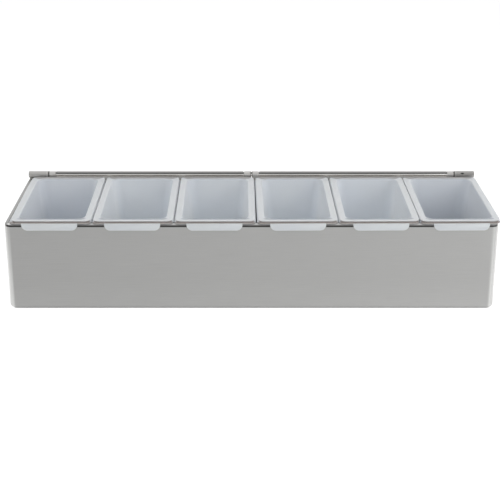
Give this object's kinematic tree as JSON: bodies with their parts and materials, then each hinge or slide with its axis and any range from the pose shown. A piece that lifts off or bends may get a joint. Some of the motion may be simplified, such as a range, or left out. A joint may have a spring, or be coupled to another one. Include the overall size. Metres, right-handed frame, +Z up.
{
  "type": "condiment caddy",
  "caption": "Low folded-steel counter caddy with a row of lift-out plastic inserts for condiments and flip lids hinged along the rear edge.",
  "frame": {"origin": "centre of the base plate's underside, under the middle of the housing", "axes": "+X right along the housing, +Y to the rear where the hinge is, +Z up"},
  "size_m": [0.4884, 0.2782, 0.0983],
  "materials": {
    "housing_steel": "fine horizontal brushing",
    "base_steel": "mill finish sheet",
    "hinge_steel": "rolled sheet, satin",
    "rod_steel": "drawn bright rod",
    "lid_steel": "fine horizontal brushing",
    "insert_plastic": "milky polypropylene, satin"
  },
  "bodies": {
    "housing": {"housing": "housing_steel", "base_plate": "base_steel", "hinge_ear_left": "hinge_steel", "hinge_ear_right": "hinge_steel", "hinge_rod": "rod_steel"},
    "lid_left": {"lid_left": "lid_steel"},
    "lid_right": {"lid_right": "lid_steel"},
    "insert_1": {"insert_1": "insert_plastic"},
    "insert_2": {"insert_2": "insert_plastic"},
    "insert_3": {"insert_3": "insert_plastic"},
    "insert_4": {"insert_4": "insert_plastic"},
    "insert_5": {"insert_5": "insert_plastic"},
    "insert_6": {"insert_6": "insert_plastic"}
  },
  "joints": [
    {"name": "lid_left_hinge", "type": "hinge", "parent": "housing", "child": "lid_left", "pos_m": [-0.12, 0.07255, 0.0949], "axis": [-1, 0, 0], "range_deg": [-218.58, 0]},
    {"name": "lid_right_hinge", "type": "hinge", "parent": "housing", "child": "lid_right", "pos_m": [0.12, 0.07255, 0.0949], "axis": [-1, 0, 0], "range_deg": [-218.58, 0]},
    {"name": "insert_1_lift", "type": "slide", "parent": "housing", "child": "insert_1", "axis": [0, 0, 1], "range_m": [0, 0.09]},
    {"name": "insert_2_lift", "type": "slide", "parent": "housing", "child": "insert_2", "axis": [0, 0, 1], "range_m": [0, 0.09]},
    {"name": "insert_3_lift", "type": "slide", "parent": "housing", "child": "insert_3", "axis": [0, 0, 1], "range_m": [0, 0.09]},
    {"name": "insert_4_lift", "type": "slide", "parent": "housing", "child": "insert_4", "axis": [0, 0, 1], "range_m": [0, 0.09]},
    {"name": "insert_5_lift", "type": "slide", "parent": "housing", "child": "insert_5", "axis": [0, 0, 1], "range_m": [0, 0.09]},
    {"name": "insert_6_lift", "type": "slide", "parent": "housing", "child": "insert_6", "axis": [0, 0, 1], "range_m": [0, 0.09]}
  ]
}
